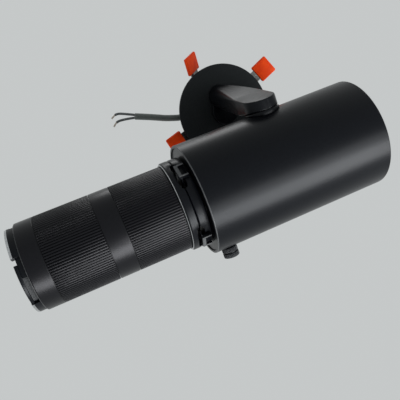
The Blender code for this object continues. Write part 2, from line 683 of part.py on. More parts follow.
def build_thumbscrew(finish, beam):
    axis = empty("thumb_axis", beam, (PIVOT_TO_FRONT - THUMB_TO_FRONT, 0, 0))
    base = BODY_RADIUS + THUMB_NECK
    end = base + 2 * THUMB_DISC + THUMB_GROOVE
    stem_end = BODY_BORE - THUMB_STEM_END
    neck = BODY_RADIUS + GAP
    groove = base + THUMB_DISC
    floor = THUMB_RADIUS - THUMB_GROOVE
    rim = THUMB_RADIUS - THUMB_EDGE
    profile = [(stem_end, 0), (stem_end, THUMB_STEM), (neck, THUMB_STEM), (neck, THUMB_RADIUS / 2),
               (base, THUMB_RADIUS / 2), (base, rim), (base + THUMB_EDGE, THUMB_RADIUS),
               (groove, THUMB_RADIUS), (groove, floor), (groove + THUMB_GROOVE, floor),
               (groove + THUMB_GROOVE, THUMB_RADIUS), (end - THUMB_EDGE, THUMB_RADIUS), (end, rim), (end, 0)]
    add("thumbscrew", turned(profile, COARSE), finish["black"], axis, rotation=ALONG_MINUS_Y)


def slot_cutter():
    """Window with round ends, centred on the gate plane and running out along the local Y axis."""
    radius = SLOT_DEPTH / 2
    straight = SLOT_WIDTH / 2 - radius
    outline = []
    for end in (1, -1):
        for step in range(5):
            turn = math.pi * step / 4
            outline.append((end * radius * math.cos(turn), end * (straight + radius * math.sin(turn))))
    shape = prism(outline, APERTURE_RADIUS / 2, COLLAR_RADIUS + TAB_HEIGHT)
    for vert in shape.verts:
        out, along, across = vert.co
        vert.co = (along, out, across)
    return shape


def build_gate(finish, beam):
    """Two collars with windows across their joint and four shutters that slide in the gate plane."""
    rear_end = REAR_COLLAR_X + REAR_COLLAR_LENGTH
    rear = tube_profile(REAR_COLLAR_X, rear_end, APERTURE_RADIUS, COLLAR_RADIUS, COLLAR_EDGE)
    rear_collar = add("rear_collar", turned(rear, FINE), finish["black"], beam)
    bore = TUBE_RADIUS + GAP
    front_end = FRONT_COLLAR_X + FRONT_COLLAR_LENGTH
    front = [(FRONT_COLLAR_X, bore), (FRONT_COLLAR_X, COLLAR_RADIUS - COLLAR_EDGE),
             (FRONT_COLLAR_X + COLLAR_EDGE, COLLAR_RADIUS), (front_end - 2 * COLLAR_EDGE, COLLAR_RADIUS),
             (front_end, COLLAR_RADIUS - 2 * COLLAR_EDGE), (front_end, bore)]
    front_collar = add("front_collar", turned(front, FINE), finish["black"], beam)
    for number in range(1, SHUTTERS + 1):
        turn = math.radians(SHUTTER_ANGLE + 360.0 * (number - 1) / SHUTTERS)
        axis = empty(f"shutter_axis_{number}", beam, (GATE_X, 0, 0))
        axis.rotation_euler = (turn, 0, 0)
        window = add(f"shutter_window_{number}", slot_cutter(), None, axis)
        combine(rear_collar, window)
        combine(front_collar, window)
        build_shutter(f"shutter_blade_{number}", finish, axis, 1 if number % 2 else -1)


def build_shutter(name, finish, axis, level):
    """Thin blade through the windows with a channel-shaped finger tab outside them."""
    base = COLLAR_RADIUS + GAP
    top = base + TAB_HEIGHT
    half = TAB_WIDTH / 2
    shutter = add(name, block((-TAB_DEPTH, base, -half), (TAB_WEB, top, half)), finish["black"], axis)
    pocket = block((-TAB_DEPTH - GAP, base + TAB_FLOOR, TAB_FLANGE - half),
                   (-TAB_WEB, top + GAP, half - TAB_FLANGE))
    combine(shutter, add(name + "_pocket", pocket, None, axis))
    plane = level * (BLADE_THICKNESS / 2 + RUN / 2)
    sheet = block((plane - BLADE_THICKNESS / 2, BLADE_INNER, -BLADE_WIDTH / 2),
                  (plane + BLADE_THICKNESS / 2, base + TAB_HEIGHT / 3, BLADE_WIDTH / 2))
    combine(shutter, add(name + "_sheet", sheet, None, axis), 'UNION')


def ribbed_ring(length, inner):
    """Grip ring with a V groove between flat-topped ribs, extruded along the beam."""
    shape = bmesh.new()
    crests, edges, roots, bores = [], [], [], []
    for rib in range(RIBS):
        for store, share, radius in ((crests, 0.0, BARREL_RADIUS), (edges, 1 - RIB_GROOVE, BARREL_RADIUS),
                                     (roots, 1 - RIB_GROOVE / 2, BARREL_RADIUS - RIB_DEPTH),
                                     (bores, 0.0, inner)):
            turn = math.tau * (rib + share) / RIBS
            store.append(shape.verts.new((0, radius * math.cos(turn), radius * math.sin(turn))))
    sector = []
    for rib in range(RIBS):
        following = (rib + 1) % RIBS
        sector.append(shape.faces.new((bores[rib], crests[rib], edges[rib], roots[rib],
                                       crests[following], bores[following])))
    grown = bmesh.ops.extrude_face_region(shape, geom=sector)
    moved = [item for item in grown["geom"] if isinstance(item, bmesh.types.BMVert)]
    bmesh.ops.translate(shape, verts=moved, vec=(length, 0, 0))
    return shape


def build_barrel(finish, beam):
    tube_end = FRONT_RING_X + FRONT_RING_LENGTH
    add("lens_tube", turned(tube_profile(TUBE_X, tube_end, TUBE_BORE, TUBE_RADIUS), MEDIUM),
        finish["barrel"], beam)
    ring_bore = TUBE_RADIUS + RUN
    band = tube_profile(BAND_X, BAND_X + BAND_LENGTH, TUBE_RADIUS + GAP, BARREL_RADIUS, BAND_EDGE)
    zoom = ribbed_ring(ZOOM_RING_LENGTH, ring_bore)
    add("zoom_ring", zoom, finish["barrel"], beam, location=(ZOOM_X, 0, 0))
    add("middle_band", turned(band, FINE), finish["barrel"], beam)
    focus = ribbed_ring(FOCUS_RING_LENGTH, ring_bore)
    add("focus_ring", focus, finish["barrel"], beam, location=(FOCUS_X, 0, 0))

    front_end = FRONT_RING_X + FRONT_RING_LENGTH
    front = [(FRONT_RING_X, TUBE_RADIUS + GAP), (FRONT_RING_X, BARREL_RADIUS - BAND_EDGE),
             (FRONT_RING_X + BAND_EDGE, BARREL_RADIUS)]
    for step in range(4):
        turn = math.radians(30 * step)
        front.append((front_end - FRONT_RING_ROUND * (1 - math.sin(turn)),
                      BARREL_RADIUS - FRONT_RING_ROUND * (1 - math.cos(turn))))
    front.append((front_end, TUBE_RADIUS + GAP))
    add("front_ring", turned(front, FINE), finish["barrel"], beam)
    build_bayonet(finish, beam)
    build_lens_groups(finish, beam, tube_end)


def build_bayonet(finish, beam):
    """Accessory ring with a rounded front and three long notches that part it into lugs."""
    end = BAYONET_X + BAYONET_LENGTH
    profile = [(BAYONET_X, BAYONET_BORE), (BAYONET_X, BAYONET_RADIUS)]
    for step in range(4):
        turn = math.radians(30 * step)
        profile.append((end - BAYONET_ROUND * (1 - math.sin(turn)),
                        BAYONET_RADIUS - BAYONET_ROUND * (1 - math.cos(turn))))
    profile.append((end, BAYONET_BORE))
    ring = add("bayonet_ring", turned(profile, FINE), finish["black"], beam)
    floor = BAYONET_RADIUS - NOTCH_DEPTH
    beyond = BAYONET_RADIUS + NOTCH_DEPTH
    for number in range(1, NOTCHES + 1):
        first = NOTCH_ANGLE - NOTCH_SPAN / 2 + 360.0 * (number - 1) / NOTCHES
        turns = [math.radians(first + NOTCH_SPAN * step / NOTCH_STEPS) for step in range(NOTCH_STEPS + 1)]
        outline = [(floor * math.cos(turn), floor * math.sin(turn)) for turn in turns]
        outline += [(beyond * math.cos(turn), beyond * math.sin(turn)) for turn in reversed(turns)]
        notch = add(f"bayonet_notch_{number}", prism(outline, BAYONET_X - GAP, end + GAP), None, beam)
        combine(ring, notch)


def build_lens_groups(finish, beam, tube_end):
    outer = TUBE_BORE - RUN
    glass_radius = outer - CARRIAGE_RIM - GAP
    groups = (("zoom", FRONT_COLLAR_X + ZOOM_START), ("focus", tube_end - FOCUS_RECESS))
    for label, start in groups:
        carriage = tube_profile(start, start + CARRIAGE_LENGTH, outer - CARRIAGE_RIM, outer)
        add(f"{label}_carriage", turned(carriage, MEDIUM), finish["plastic"], beam)
        lens = lens_profile(start + CARRIAGE_LENGTH / 4, LENS_EDGE, glass_radius, LENS_CROWN)
        add(f"{label}_lens", turned(lens, MEDIUM), finish["glass"], beam)


def main():
    clear_scene()
    finish = make_materials()
    root = empty("ceiling", None, (0, 0, 0))
    pan = empty("pan_axis", root, (0, 0, 0))
    tilt = empty("tilt_axis", pan, (0, 0, -TILT_DROP))
    beam = empty("beam_axis", tilt, (0, -BEAM_OFFSET, 0))
    build_plate(finish, root)
    build_clips(finish, root)
    build_cable(finish, root)
    build_swivel(finish, pan)
    build_arm(finish, pan, tilt)
    build_body(finish, beam)
    build_thumbscrew(finish, beam)
    build_gate(finish, beam)
    build_barrel(finish, beam)


main()
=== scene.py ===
import json
import math

import bmesh
import bpy
from mathutils import Matrix, Vector


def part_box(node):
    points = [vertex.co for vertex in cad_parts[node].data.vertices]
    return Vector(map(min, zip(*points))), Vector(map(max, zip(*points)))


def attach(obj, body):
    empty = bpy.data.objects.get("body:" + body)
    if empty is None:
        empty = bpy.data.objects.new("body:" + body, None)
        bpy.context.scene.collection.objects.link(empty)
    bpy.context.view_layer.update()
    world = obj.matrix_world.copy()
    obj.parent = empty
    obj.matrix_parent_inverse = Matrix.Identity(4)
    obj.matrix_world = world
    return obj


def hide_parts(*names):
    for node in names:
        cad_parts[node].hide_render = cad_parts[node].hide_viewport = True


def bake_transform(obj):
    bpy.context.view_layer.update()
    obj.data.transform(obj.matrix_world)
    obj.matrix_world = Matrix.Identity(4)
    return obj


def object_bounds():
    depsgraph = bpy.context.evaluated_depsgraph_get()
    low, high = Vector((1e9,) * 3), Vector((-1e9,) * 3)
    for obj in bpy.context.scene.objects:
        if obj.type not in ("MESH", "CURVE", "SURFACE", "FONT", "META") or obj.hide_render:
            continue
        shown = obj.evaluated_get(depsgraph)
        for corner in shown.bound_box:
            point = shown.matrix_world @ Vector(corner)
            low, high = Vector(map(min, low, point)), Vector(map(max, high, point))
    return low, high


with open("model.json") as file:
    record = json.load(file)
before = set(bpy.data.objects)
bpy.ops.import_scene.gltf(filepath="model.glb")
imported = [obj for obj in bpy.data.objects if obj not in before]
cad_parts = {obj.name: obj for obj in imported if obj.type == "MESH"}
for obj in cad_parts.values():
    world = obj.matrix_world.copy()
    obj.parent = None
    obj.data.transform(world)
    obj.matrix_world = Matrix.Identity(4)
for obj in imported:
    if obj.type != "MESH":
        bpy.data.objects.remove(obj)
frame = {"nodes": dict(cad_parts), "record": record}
CAD_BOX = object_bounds()

MM = 0.001
RECORD = frame["record"]
BODY_OF = {node: body for body, nodes in RECORD["behaviour"]["bodies"].items() for node in nodes}
SLOT_OF = {part["node"]: part["material_slot"] for part in RECORD["subparts"]}
JOINTS = {joint["name"]: joint for joint in RECORD["behaviour"]["joints"]}
SHARP_ANGLE = math.radians(34)

# The photograph's viewpoint, in the lamp's frame
CAMERA_PLACE = Vector((0.14531, 0.0276, -0.45913))
VIEW = Vector((-0.1987, -0.203, 0.9588)).normalized()
RIGHT = VIEW.cross(Vector((-0.3744, 0.9198, 0.1172))).normalized()
UP = RIGHT.cross(VIEW)
FOCAL_PIXELS = 512.0
FRAME_PIXELS = 400.0
SENSOR_WIDTH = 36.0

# Axes of the head and of the ceiling plate
body_low, body_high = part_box("body_tube")
BEAM = Vector((0, (body_low.y + body_high.y) / 2, (body_low.z + body_high.z) / 2))
ALONG_BEAM = Matrix.Translation(BEAM)
ALONG_PLATE = Matrix.Rotation(-math.pi / 2, 4, 'Y')
TARGET = (CAD_BOX[0] + CAD_BOX[1]) / 2

FINE = 192
MEDIUM = 96


def clear_start():
    for name in ("Cube", "Light", "Camera"):
        old = bpy.data.objects.get(name)
        if old is not None:
            bpy.data.objects.remove(old, do_unlink=True)


# Camera, light and floor

def build_camera():
    lens = bpy.data.cameras.new("photo_camera")
    lens.sensor_width = SENSOR_WIDTH
    lens.lens = FOCAL_PIXELS * SENSOR_WIDTH / FRAME_PIXELS
    lens.clip_start = 0.01
    camera = bpy.data.objects.new("photo_camera", lens)
    bpy.context.collection.objects.link(camera)
    turn = Matrix((RIGHT, UP, -VIEW)).transposed().to_4x4()
    camera.matrix_world = Matrix.Translation(CAMERA_PLACE) @ turn
    bpy.context.scene.camera = camera


def soft_light(name, direction, distance, size, power, long_axis=Vector((1, 0, 0)), colour=(1, 1, 1)):
    """Rectangular soft box that faces the lamp, its long side along long_axis."""
    lamp = bpy.data.lights.new(name, 'AREA')
    lamp.shape = 'RECTANGLE'
    lamp.size, lamp.size_y = size
    lamp.energy = power
    lamp.color = colour
    box = bpy.data.objects.new(name, lamp)
    bpy.context.collection.objects.link(box)
    back = direction.normalized()
    across = (long_axis - back * long_axis.dot(back)).normalized()
    turn = Matrix((across, back.cross(across), back)).transposed().to_4x4()
    box.matrix_world = Matrix.Translation(TARGET + back * distance) @ turn
    box.visible_camera = False
    return box


def build_lights():
    soft_light("key_strip", Vector((-0.19, -0.645, -0.74)), 0.78, (1.1, 0.32), 12.0)
    soft_light("front_strip", Vector((-0.38, -0.36, -0.85)), 0.8, (0.75, 0.3), 2.8)
    soft_light("arm_fill", Vector((-0.2, 0.71, 0.675)), 1.0, (0.5, 0.3), 1.5)


def build_world():
    world = bpy.data.worlds.new("pale_studio")
    bpy.context.scene.world = world
    world.use_nodes = True
    tree = world.node_tree
    tree.nodes.clear()
    path = tree.nodes.new("ShaderNodeLightPath")
    seen = None
    for ray in ("Is Camera Ray", "Is Glossy Ray", "Is Transmission Ray"):
        if seen is None:
            seen = path.outputs[ray]
            continue
        either = tree.nodes.new("ShaderNodeMath")
        either.operation = 'MAXIMUM'
        tree.links.new(seen, either.inputs[0])
        tree.links.new(path.outputs[ray], either.inputs[1])
        seen = either.outputs[0]
    ambient = tree.nodes.new("ShaderNodeBackground")
    ambient.inputs["Color"].default_value = (0.95, 0.98, 1.0, 1.0)
    ambient.inputs["Strength"].default_value = 0.8
    pale = tree.nodes.new("ShaderNodeBackground")
    pale.inputs["Color"].default_value = (0.56, 0.58, 0.58, 1.0)
    pale.inputs["Strength"].default_value = 1.0
    mix = tree.nodes.new("ShaderNodeMixShader")
    out = tree.nodes.new("ShaderNodeOutputWorld")
    tree.links.new(seen, mix.inputs[0])
    tree.links.new(ambient.outputs[0], mix.inputs[1])
    tree.links.new(pale.outputs[0], mix.inputs[2])
    tree.links.new(mix.outputs[0], out.inputs["Surface"])


def build_floor():
    shape = bmesh.new()
    bmesh.ops.create_circle(shape, cap_ends=True, segments=96, radius=4.0)
    bmesh.ops.translate(shape, verts=shape.verts[:], vec=(0, 0, -1.6))
    mesh = bpy.data.meshes.new("pale_floor")
    shape.to_mesh(mesh)
    shape.free()
    floor = bpy.data.objects.new("pale_floor", mesh)
    bpy.context.collection.objects.link(floor)
    made = Finish("floor_paint")
    made.colour(((0.6, 0.6, 0.59), (0.66, 0.66, 0.65)), 6.0)
    made.shader.inputs["Roughness"].default_value = 0.9
    mesh.materials.append(made.material)


# Materials

class Finish:
    """A procedural material built round one Principled shader, in object space."""

    def __init__(self, name, metallic=0.0, roughness=0.5, specular=0.5):
        self.material = bpy.data.materials.new(name)
        self.material.use_nodes = True
        self.tree = self.material.node_tree
        self.shader = self.tree.nodes["Principled BSDF"]
        self.shader.inputs["Metallic"].default_value = metallic
        self.shader.inputs["Roughness"].default_value = roughness
        self.shader.inputs["Specular IOR Level"].default_value = specular
        self.place = self.tree.nodes.new("ShaderNodeTexCoord").outputs["Object"]
        self.height = None

    def link(self, source, socket):
        self.tree.links.new(source, socket)

    def noise(self, scale, detail=3.0, stretch=(1, 1, 1), distortion=0.0):
        mapping = self.tree.nodes.new("ShaderNodeMapping")
        mapping.inputs["Scale"].default_value = stretch
        self.link(self.place, mapping.inputs["Vector"])
        made = self.tree.nodes.new("ShaderNodeTexNoise")
        made.inputs["Scale"].default_value = scale
        made.inputs["Detail"].default_value = detail
        made.inputs["Distortion"].default_value = distortion
        self.link(mapping.outputs["Vector"], made.inputs["Vector"])
        return made.outputs["Fac"]

    def ramp(self, source, low, high, start=0.3, end=0.7):
        made = self.tree.nodes.new("ShaderNodeValToRGB")
        made.color_ramp.elements[0].position = start
        made.color_ramp.elements[0].color = (*low, 1.0)
        made.color_ramp.elements[1].position = end
        made.color_ramp.elements[1].color = (*high, 1.0)
        self.link(source, made.inputs["Fac"])
        return made.outputs["Color"]

    def colour(self, tones, scale, detail=4.0, stretch=(1, 1, 1)):
        """Base colour that wanders between two tones."""
        self.base = self.ramp(self.noise(scale, detail, stretch), *tones)
        self.link(self.base, self.shader.inputs["Base Color"])

    def painted_edge_highlight(self, radius, tone, strength):
        """Lighten the base colour towards a lighter tone along the piece's corners: a painted highlight where rounded
        edges catch the light.
        """
        rounded = self.tree.nodes.new("ShaderNodeBevel")
        rounded.samples = 4
        rounded.inputs["Radius"].default_value = radius
        surface = self.tree.nodes.new("ShaderNodeNewGeometry")
        alike = self.tree.nodes.new("ShaderNodeVectorMath")
        alike.operation = 'DOT_PRODUCT'
        self.link(rounded.outputs["Normal"], alike.inputs[0])
        self.link(surface.outputs["Normal"], alike.inputs[1])
        rub = self.tree.nodes.new("ShaderNodeMapRange")
        rub.inputs["From Min"].default_value = 0.99
        rub.inputs["From Max"].default_value = 0.8
        rub.inputs["To Max"].default_value = strength
        self.link(alike.outputs["Value"], rub.inputs["Value"])
        mix = self.tree.nodes.new("ShaderNodeMix")
        mix.data_type = 'RGBA'
        mix.inputs["B"].default_value = (*tone, 1.0)
        self.link(rub.outputs["Result"], mix.inputs["Factor"])
        self.link(self.base, mix.inputs["A"])
        self.base = mix.outputs["Result"]
        self.link(self.base, self.shader.inputs["Base Color"])

    def tint(self, colour):
        self.shader.inputs["Specular Tint"].default_value = (*colour, 1.0)

    def roughness(self, low, high, scale, detail=3.0, stretch=(1, 1, 1)):
        made = self.tree.nodes.new("ShaderNodeMapRange")
        made.inputs["From Min"].default_value = 0.3
        made.inputs["From Max"].default_value = 0.7
        made.inputs["To Min"].default_value = low
        made.inputs["To Max"].default_value = high
        self.link(self.noise(scale, detail, stretch), made.inputs["Value"])
        self.link(made.outputs["Result"], self.shader.inputs["Roughness"])

    def bump(self, scale, distance, strength=0.5, detail=2.0, stretch=(1, 1, 1)):
        made = self.tree.nodes.new("ShaderNodeBump")
        made.inputs["Distance"].default_value = distance
        made.inputs["Strength"].default_value = strength
        self.link(self.noise(scale, detail, stretch), made.inputs["Height"])
        if self.height is not None:
            self.link(self.height, made.inputs["Normal"])
        self.height = made.outputs["Normal"]
        self.link(self.height, self.shader.inputs["Normal"])


def satin_black():
    made = Finish("satin_black_anodised", specular=0.16)
    made.colour(((0.0012, 0.0015, 0.0024), (0.0024, 0.0028, 0.004)), 900.0)
    # Corners lightened towards grey: a painted highlight.
    made.painted_edge_highlight(0.35 * MM, (0.05, 0.052, 0.055), 0.7)
    made.tint((0.92, 0.96, 1.0))
    made.roughness(0.27, 0.35, 1400.0)
    made.bump(2600.0, 0.02 * MM, 0.1)
    return made.material


def barrel_black():
    made = Finish("barrel_black_anodised", specular=0.2)
    made.colour(((0.0018, 0.0019, 0.0026), (0.0034, 0.0035, 0.0045)), 1100.0)
    made.tint((0.94, 0.95, 1.0))
    made.roughness(0.28, 0.32, 120.0)
    return made.material


def powder_black():
    made = Finish("powder_black_coat", specular=0.2)
    made.colour(((0.0055, 0.0062, 0.0068), (0.0095, 0.0105, 0.011)), 700.0)
    # Corners lightened towards grey: a painted highlight.
    made.painted_edge_highlight(0.35 * MM, (0.06, 0.062, 0.064), 0.5)
    made.tint((0.86, 0.96, 1.0))
    made.roughness(0.5, 0.62, 1200.0)
    made.bump(1500.0, 0.03 * MM, 0.5)
    return made.material


def matt_black():
    made = Finish("matt_black_paint", specular=0.1)
    made.colour(((0.0045, 0.005, 0.0058), (0.008, 0.0088, 0.0096)), 600.0)
    made.roughness(0.62, 0.72, 900.0)
    made.bump(1300.0, 0.03 * MM, 0.4)
    return made.material


def spring_steel():
    made = Finish("spring_steel_rolled", metallic=1.0)
    made.colour(((0.17, 0.175, 0.17), (0.28, 0.285, 0.275)), 500.0, stretch=(1, 1, 0.2))
    made.roughness(0.32, 0.46, 1800.0, stretch=(0.1, 1, 1))
    made.bump(2200.0, 0.01 * MM, 0.3, stretch=(0.1, 1, 1))
    return made.material


def bright_edge():
    made = Finish("cut_aluminium_edge", metallic=1.0)
    made.colour(((0.4, 0.41, 0.42), (0.6, 0.61, 0.62)), 900.0)
    made.roughness(0.2, 0.32, 1500.0)
    return made.material


# Dark grey rubbed metal for screws and threads; also a lighter line on the body's front rim, the shutter tab rims and
# the bayonet joint, there a painted highlight.
def rubbed_edge():
    made = Finish("rubbed_black_edge_and_sheen", specular=0.3)
    made.colour(((0.03, 0.032, 0.034), (0.07, 0.073, 0.076)), 1200.0)
    made.roughness(0.3, 0.45, 1500.0)
    return made.material


def orange_silicone():
    made = Finish("orange_silicone_skin", specular=0.12)
    made.colour(((0.6, 0.034, 0.0012), (0.72, 0.055, 0.002)), 160.0)
    made.roughness(0.42, 0.56, 500.0)
    made.bump(900.0, 0.03 * MM, 0.4)
    return made.material


def raw_aluminium():
    made = Finish("extruded_aluminium", metallic=1.0)
    made.colour(((0.56, 0.57, 0.59), (0.68, 0.69, 0.71)), 300.0)
    made.roughness(0.3, 0.48, 900.0, stretch=(0.1, 1, 1))
    return made.material


def reflector_mirror():
    made = Finish("faceted_mirror", metallic=1.0)
    made.colour(((0.86, 0.86, 0.86), (0.93, 0.93, 0.93)), 400.0)
    made.roughness(0.05, 0.12, 700.0)
    return made.material


def lens_glass():
    made = Finish("coated_glass")
    made.colour(((0.9, 0.94, 0.97), (0.96, 0.97, 0.99)), 60.0)
    made.roughness(0.01, 0.03, 300.0)
    made.shader.inputs["Transmission Weight"].default_value = 1.0
    made.shader.inputs["IOR"].default_value = 1.52
    return made.material


def board_white():
    made = Finish("solder_mask_white")
    made.colour(((0.68, 0.67, 0.6), (0.78, 0.77, 0.71)), 300.0)
    made.roughness(0.45, 0.6, 700.0)
    return made.material


def dark_plastic():
    made = Finish("moulded_black_plastic")
    made.colour(((0.014, 0.014, 0.015), (0.024, 0.024, 0.026)), 500.0)
    made.roughness(0.42, 0.58, 900.0)
    made.bump(1800.0, 0.02 * MM, 0.4)
    return made.material


def grey_sheath():
    made = Finish("grey_cable_sheath")
    made.colour(((0.075, 0.088, 0.082), (0.105, 0.12, 0.112)), 220.0)
    made.roughness(0.45, 0.6, 600.0)
    made.bump(700.0, 0.05 * MM, 0.4)
    return made.material


def core_insulation():
    made = Finish("core_insulation_grey")
    made.colour(((0.05, 0.056, 0.058), (0.08, 0.087, 0.09)), 300.0)
    made.roughness(0.38, 0.52, 700.0)
    return made.material


def tinned_wire():
    made = Finish("tinned_copper_strands", metallic=1.0)
    made.colour(((0.5, 0.44, 0.38), (0.68, 0.62, 0.55)), 900.0)
    made.roughness(0.28, 0.42, 1500.0)
    return made.material


def build_finishes():
    makers = (satin_black, barrel_black, powder_black, spring_steel, orange_silicone, raw_aluminium, reflector_mirror,
              lens_glass, board_white, dark_plastic, grey_sheath, core_insulation)
    made = {maker.__name__: maker() for maker in makers}
    made["bright_edge"] = bright_edge()
    made["rubbed_edge"] = rubbed_edge()
    made["matt_black"] = matt_black()
    made["tinned_wire"] = tinned_wire()
    return made


# Mesh helpers

def piece(name, shape, body, material):
    """Link a bmesh as a smooth-shaded piece that rides on a body."""
    bmesh.ops.recalc_face_normals(shape, faces=shape.faces[:])
    mesh = bpy.data.meshes.new(name)
    shape.to_mesh(mesh)
    shape.free()
    mesh.shade_smooth()
    mesh.set_sharp_from_angle(angle=SHARP_ANGLE)
    mesh.materials.append(material)
    made = bpy.data.objects.new(name, mesh)
    bpy.context.collection.objects.link(made)
    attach(made, body)
    return made


def stand_in(node, shape, finish=None):
    """A finer mesh in place of one CAD node, in that node's finish unless another is named."""
    made = piece(node + "_fine", shape, BODY_OF[node], FINISH[finish or SLOT_OF[node]])
    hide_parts(node)
    return made


def fillet(points, steps=4):
    """Round the corners of a closed outline of (along, radius, corner size) points."""
    rounded = []
    for index, (along, radius, size) in enumerate(points):
        here = Vector((along, radius))
        if size == 0:
            rounded.append(here)
            continue
        back = Vector(points[index - 1][:2]) - here
        ahead = Vector(points[(index + 1) % len(points)][:2]) - here
        start = here + back.normalized() * min(size, back.length / 2)
        end = here + ahead.normalized() * min(size, ahead.length / 2)
        for step in range(steps + 1):
            t = step / steps
            rounded.append((1 - t) ** 2 * start + 2 * t * (1 - t) * here + t ** 2 * end)
    return rounded


def lathe(outline, place=ALONG_BEAM, segments=FINE, wave=None):
    """Spin a closed outline round the place's X axis. wave(turn, point) gives a point's radius at that turn."""
    shape = bmesh.new()
    rings = []
    for step in range(segments):
        turn = math.tau * step / segments
        ring = []
        for point in outline:
            radius = point[1] if wave is None else wave(turn, point)
            ring.append(shape.verts.new(place @ Vector((point[0], radius * math.cos(turn), radius * math.sin(turn)))))
        rings.append(ring)
    count = len(outline)
    for index, ring in enumerate(rings):
        following = rings[(index + 1) % segments]
        for spot in range(count):
            after = (spot + 1) % count
            shape.faces.new((ring[spot], ring[after], following[after], following[spot]))
    bmesh.ops.remove_doubles(shape, verts=shape.verts[:], dist=1e-7)
    bmesh.ops.dissolve_degenerate(shape, edges=shape.edges[:], dist=1e-8)
    return shape


def skin(shape, rings):
    """Join a row of closed point rings with faces and cap both ends."""
    count = len(rings[0])
    for near, far in zip(rings, rings[1:]):
        for spot in range(count):
            after = (spot + 1) % count
            shape.faces.new((near[spot], near[after], far[after], far[spot]))
    shape.faces.new(rings[0])
    shape.faces.new(rings[-1])


def loft(sections):
    shape = bmesh.new()
    skin(shape, [[shape.verts.new(point) for point in section] for section in sections])
    return shape


def ring_outline(start, end, inner, outer, edge, inner_edge=0.0):
    return fillet([(start, inner, inner_edge), (start, outer, edge), (end, outer, edge), (end, inner, inner_edge)])


def disc_outline(start, end, radius, edge):
    return fillet([(start, 0, 0), (start, radius, edge), (end, radius, edge), (end, 0, 0)])


def refined(node, edge, segments=2):
    """The CAD node's own shape with its split facets joined and its corners rounded."""
    shape = bmesh.new()
    shape.from_mesh(frame["nodes"][node].data)
    bmesh.ops.remove_doubles(shape, verts=shape.verts[:], dist=2e-6)
    bmesh.ops.dissolve_limit(shape, angle_limit=math.radians(0.5), verts=shape.verts[:], edges=shape.edges[:])
    bmesh.ops.recalc_face_normals(shape, faces=shape.faces[:])
    corners = [line for line in shape.edges if len(line.link_faces) == 2 and line.calc_face_angle() > SHARP_ANGLE]
    bmesh.ops.bevel(shape, geom=corners, offset=edge, segments=segments, profile=0.5, affect='EDGES',
                    clamp_overlap=True)
    return shape


def carve(target, cutters):
    """Cut closed bmesh shapes out of a piece for good."""
    for shape in cutters:
        bmesh.ops.recalc_face_normals(shape, faces=shape.faces[:])
        mesh = bpy.data.meshes.new("cutter")
        shape.to_mesh(mesh)
        shape.free()
        cutter = bpy.data.objects.new("cutter", mesh)
        bpy.context.collection.objects.link(cutter)
        step = target.modifiers.new("cut", 'BOOLEAN')
        step.operation = 'DIFFERENCE'
        step.solver = 'EXACT'
        step.object = cutter
        bpy.context.view_layer.update()
        cut = bpy.data.meshes.new_from_object(target.evaluated_get(bpy.context.evaluated_depsgraph_get()))
        target.modifiers.remove(step)
        bpy.data.objects.remove(cutter, do_unlink=True)
        target.data = cut
    target.data.set_sharp_from_angle(angle=SHARP_ANGLE)


def smooth_route(points, count):
    """Evenly numbered points on a Catmull-Rom curve through the route."""
    padded = [points[0] * 2 - points[1], *points, points[-1] * 2 - points[-2]]
    spans = len(points) - 1
    route = []
    for step in range(count):
        place = spans * step / (count - 1)
        span = min(int(place), spans - 1)
        t = place - span
        a, b, c, d = padded[span:span + 4]
        route.append(0.5 * (2 * b + (c - a) * t + (2 * a - 5 * b + 4 * c - d) * t ** 2
                            + (3 * b - a - 3 * c + d) * t ** 3))
    return route


def tube(name, points, radius, material, resolution=6):
    curve = bpy.data.curves.new(name, 'CURVE')
    curve.dimensions = '3D'
    curve.bevel_depth = radius
    curve.bevel_resolution = resolution
    curve.use_fill_caps = True
    spline = curve.splines.new('POLY')
    spline.points.add(len(points) - 1)
    for knot, point in zip(spline.points, points):
        knot.co = (*point, 1.0)
        knot.radius = 1.0
    spline.use_smooth = True
    curve.materials.append(material)
    made = bpy.data.objects.new(name, curve)
    bpy.context.collection.objects.link(made)
    return made


# Supply cable

SHEATH_RADIUS = 2.9 * MM
CORE_RADIUS = 1.1 * MM
STRIPPED = 4.5 * MM
SHEATH_ROUTE = [Vector(p) for p in (
    (0.038805, 0.007895, 0.011), (0.041745, 0.008493, 0.011), (0.052, 0.0119, 0.0102), (0.0584, 0.0146, 0.0090),
    (0.0660, 0.0178, 0.0074), (0.0730, 0.0206, 0.0058), (0.0786, 0.0228, 0.0048))]
LIVE_ROUTE = [Vector(p) for p in (
    (0.0788, 0.0244, 0.0047), (0.0832, 0.0264, 0.0044), (0.0886, 0.0288, 0.0040), (0.0922, 0.0300, 0.0036),
    (0.0954, 0.0299, 0.0032), (0.0992, 0.0279, 0.0028))]
NEUTRAL_ROUTE = [Vector(p) for p in (
    (0.0799, 0.0219, 0.0046), (0.0842, 0.0228, 0.0043), (0.0893, 0.0236, 0.0038), (0.0934, 0.0239, 0.0034),
    (0.0965, 0.0233, 0.0030), (0.1001, 0.0208, 0.0026))]


def route_length(points):
    return sum((b - a).length for a, b in zip(points, points[1:]))


def build_core(name, node, route):
    """Insulated core that ends in a short twist of bare strands."""
    points = smooth_route(route, 41)
    total = route_length(points)
    covered = [points[0]]
    while route_length(covered) < total - STRIPPED:
        covered.append(points[len(covered)])
    made = tube(name, covered, CORE_RADIUS, FINISH["core_insulation"], 5)
    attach(made, BODY_OF[node])
    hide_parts(node)
    bare = points[len(covered) - 2:]
    strands = []
    for strand in range(7):
        path = []
        for index, point in enumerate(bare):
            share = index / (len(bare) - 1)
            ahead = (bare[min(index + 1, len(bare) - 1)] - bare[max(index - 1, 0)]).normalized()
            side = ahead.orthogonal()
            spread = 0 if strand == 0 else (0.5 + 0.12 * share) * MM
            turn = math.tau * strand / 6 + 2.2 * share
            path.append(point + Matrix.Rotation(turn, 3, ahead) @ side.normalized() * spread)
        wire = tube(f"{name}_strand_{strand + 1}", path, 0.2 * MM, FINISH["tinned_wire"], 3)
        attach(wire, BODY_OF[node])
        strands.append(wire)
    return [made, *strands]


